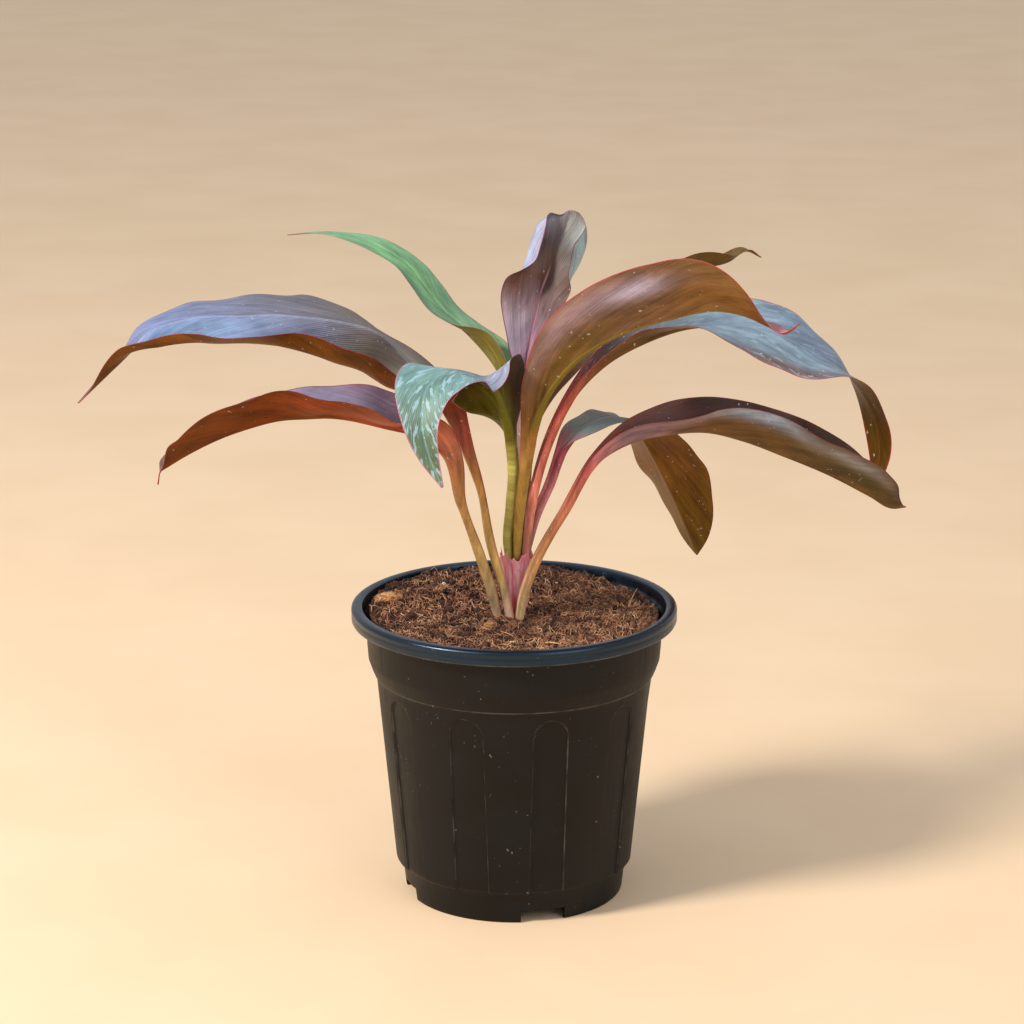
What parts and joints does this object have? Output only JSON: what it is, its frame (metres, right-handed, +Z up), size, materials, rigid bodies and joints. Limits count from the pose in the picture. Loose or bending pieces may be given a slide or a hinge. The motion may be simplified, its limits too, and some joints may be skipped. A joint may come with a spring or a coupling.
{
  "type": "potted plant",
  "caption": "Young potted dracaena with long arching dark leaves edged in pink, on thin stalks from a short stem, in a fluted black nursery pot of coir soil.",
  "frame": {"origin": "on the pot's axis, on the surface the pot stands on", "axes": "+Z up, +X to the right of the front view along the longest spread of leaves, -Y towards the front"},
  "size_m": [0.3761, 0.2156, 0.3182],
  "materials": {
    "pot_plastic": "matte black moulded plastic with a soft sheen on the rim",
    "soil": "rough, damp coir peat with fibres",
    "husk": "dry fibrous coir husk",
    "stem": "smooth living stem",
    "sheath": "thin dry papery sheath",
    "leaf_violet": "satin leaf, blue-violet above and brown-olive below, pink edge",
    "leaf_green": "satin leaf, green above, pink-brown edge",
    "leaf_brown": "satin leaf, brown-olive below with a mauve sheen, pink-red edge"
  },
  "bodies": {
    "root": {"pot": "pot_plastic", "soil": "soil", "husk_chip_left": "husk", "husk_chip_front": "husk", "stem": "stem", "stem_sheath": "sheath", "leaf_back_left": "leaf_green", "leaf_back_right": "leaf_brown", "leaf_centre": "leaf_violet", "leaf_front": "leaf_violet", "leaf_front_right": "leaf_brown", "leaf_lower_left": "leaf_brown", "leaf_lower_right": "leaf_violet", "leaf_small_right": "leaf_brown", "leaf_upper_left": "leaf_violet", "leaf_upper_right": "leaf_violet"}
  },
  "joints": []
}
